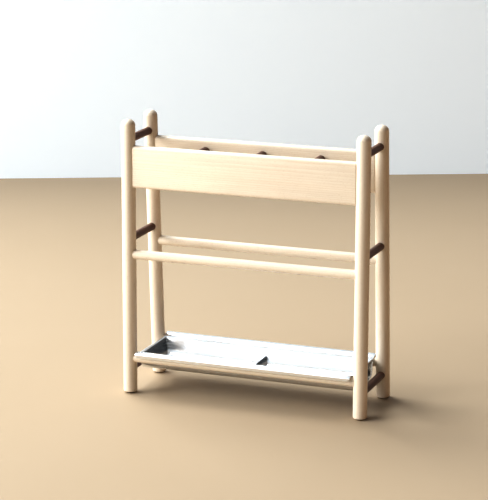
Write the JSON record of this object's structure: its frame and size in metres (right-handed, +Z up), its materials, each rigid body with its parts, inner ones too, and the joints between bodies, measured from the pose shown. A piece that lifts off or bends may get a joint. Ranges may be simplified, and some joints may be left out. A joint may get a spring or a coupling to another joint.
{
  "type": "umbrella stand",
  "caption": "Slim free-standing umbrella stand: leaning round wooden posts, two boards with dark dowels between them, side bars, and a lift-out steel drip tray on low rails.",
  "frame": {"origin": "on the floor, at the middle of the stand's footprint", "axes": "+Z up, +X to the right along the boards, +Y from the front posts to the back posts"},
  "size_m": [0.4636, 0.153, 0.5],
  "materials": {
    "light_wood": "clear satin lacquer over pale fine-grained wood",
    "pin_wood": "bare beech dowel pin",
    "dark_wood": "dark walnut, satin lacquer",
    "pad": "matt dark rubber pad",
    "steel": "satin stainless steel sheet"
  },
  "bodies": {
    "stand": {"post_front_left": "light_wood", "post_front_right": "light_wood", "post_back_left": "light_wood", "post_back_right": "light_wood", "board_front": "light_wood", "board_back": "light_wood", "rail_mid_front": "light_wood", "rail_mid_back": "light_wood", "rail_low_front": "light_wood", "rail_low_back": "light_wood", "bar_top_left": "dark_wood", "bar_top_right": "dark_wood", "bar_mid_left": "dark_wood", "bar_mid_right": "dark_wood", "bar_low_left": "dark_wood", "bar_low_right": "dark_wood", "divider_left": "dark_wood", "divider_centre": "dark_wood", "divider_right": "dark_wood", "pins_board_front": "pin_wood", "pins_board_back": "pin_wood", "pad_front_left": "pad", "pad_front_right": "pad", "pad_back_left": "pad", "pad_back_right": "pad"},
    "tray": {"tray_trough": "steel", "tray_end_left": "steel", "tray_end_right": "steel", "tray_partition": "steel"}
  },
  "joints": [
    {"name": "tray_lift", "type": "slide", "parent": "stand", "child": "tray", "axis": [0, 0, 1], "range_m": [0, 0.16]}
  ]
}
